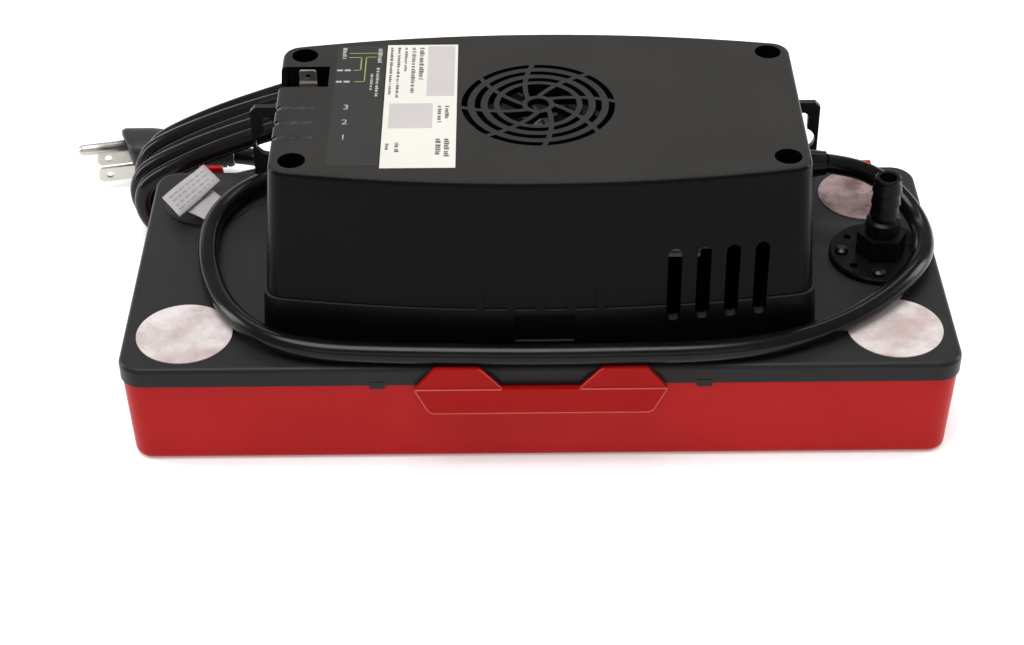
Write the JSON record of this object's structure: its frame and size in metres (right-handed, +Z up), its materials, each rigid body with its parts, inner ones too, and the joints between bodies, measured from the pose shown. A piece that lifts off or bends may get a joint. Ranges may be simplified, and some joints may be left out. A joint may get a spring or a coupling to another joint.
{
  "type": "condensate pump",
  "caption": "Low condensate pump: open tank, clip-on cover with motor housing and grille, float switches, discharge barb with check valve, and mains cord.",
  "frame": {"origin": "under the middle of the tank, on the surface that it stands on", "axes": "+X along the tank towards the discharge fitting, +Y to the back where the hanging tabs are, +Z up"},
  "size_m": [0.345, 0.2029, 0.112],
  "materials": {
    "red_shell": "glossy moulded",
    "cover_black": "satin moulded",
    "seal_foil": "pearly film",
    "housing_black": "fine grain",
    "zinc_steel": "zinc plated",
    "clear_guide": "smoked clear",
    "board": "circuit board",
    "tinned_brass": "tinned",
    "lamination": "laminated",
    "winding": "taped winding",
    "bronze": "sintered",
    "shaft_steel": "ground",
    "inner_plastic": "moulded",
    "rubber_black": "matte",
    "float_foam": "closed cell",
    "cord_black": "soft glossy jacket",
    "flag_paper": "printed film"
  },
  "bodies": {
    "tank_body": {"tank": "red_shell"},
    "latch": {"front_latch": "red_shell"},
    "cover_body": {"tank_cover": "cover_black", "inlet_seals": "seal_foil", "housing": "housing_black", "housing_screws": "zinc_steel", "indicator_lenses": "clear_guide", "indicator_lamps": "clear_guide", "lamp_board": "board", "terminal_tray": "housing_black", "spade_terminals": "tinned_brass", "motor_stack": "lamination", "motor_coil": "winding", "upper_bracket": "zinc_steel", "lower_bracket": "zinc_steel", "shaft_bushings": "bronze", "motor_posts": "zinc_steel", "motor_screws": "zinc_steel", "bracket_screws": "zinc_steel", "pump_casing": "inner_plastic", "casing_screws": "zinc_steel", "strainer_base": "inner_plastic", "discharge_pipe": "inner_plastic", "discharge_fitting": "cover_black", "flange_screws": "zinc_steel", "valve_seat": "rubber_black", "lever_pin": "shaft_steel", "switch_bracket": "zinc_steel", "run_switch": "inner_plastic", "alarm_switch": "inner_plastic", "cord_gland": "cord_black", "power_cord": "cord_black", "cord_coil": "cord_black", "cord_tail": "cord_black", "plug_body": "cord_black", "plug_blades": "tinned_brass", "cord_flag": "flag_paper"},
    "rotor": {"motor_shaft": "shaft_steel", "rotor_core": "lamination", "cooling_fan": "inner_plastic", "impeller": "inner_plastic", "water_slinger": "rubber_black"},
    "valve_ball": {"check_ball": "rubber_black"},
    "float_body": {"float": "float_foam", "float_stem": "inner_plastic"},
    "lever": {"switch_lever": "zinc_steel"},
    "plungers": {"switch_plungers": "rubber_black"}
  },
  "joints": [
    {"name": "latch_release", "type": "hinge", "parent": "tank_body", "child": "latch", "pos_m": [0, -0.0654, 0.0243], "axis": [1, 0, 0], "range_deg": [0, 9], "stiffness_Nm_per_rad": 0.3},
    {"name": "cover_lift", "type": "slide", "parent": "tank_body", "child": "cover_body", "axis": [0, 0, 1], "range_m": [0, 0.09]},
    {"name": "rotor_spin", "type": "hinge", "parent": "cover_body", "child": "rotor", "pos_m": [0, 0, 0.07], "axis": [0, 0, 1], "continuous": true},
    {"name": "float_rise", "type": "slide", "parent": "cover_body", "child": "float_body", "axis": [0, 0, 1], "range_m": [0, 0.012]},
    {"name": "lever_swing", "type": "hinge", "parent": "cover_body", "child": "lever", "pos_m": [-0.036, 0, 0.0638], "axis": [0, 1, 0], "range_deg": [0, 34.6]},
    {"name": "plunger_press", "type": "slide", "parent": "cover_body", "child": "plungers", "axis": [0, 0, 1], "range_m": [0, 0.0013]},
    {"name": "ball_lift", "type": "slide", "parent": "cover_body", "child": "valve_ball", "axis": [0, 0, 1], "range_m": [0, 0.003]}
  ],
  "couplings": [
    {"joint": "lever_swing", "follows": "float_rise", "rad_per_m": 50},
    {"joint": "plunger_press", "follows": "float_rise", "ratio": 0.1}
  ]
}
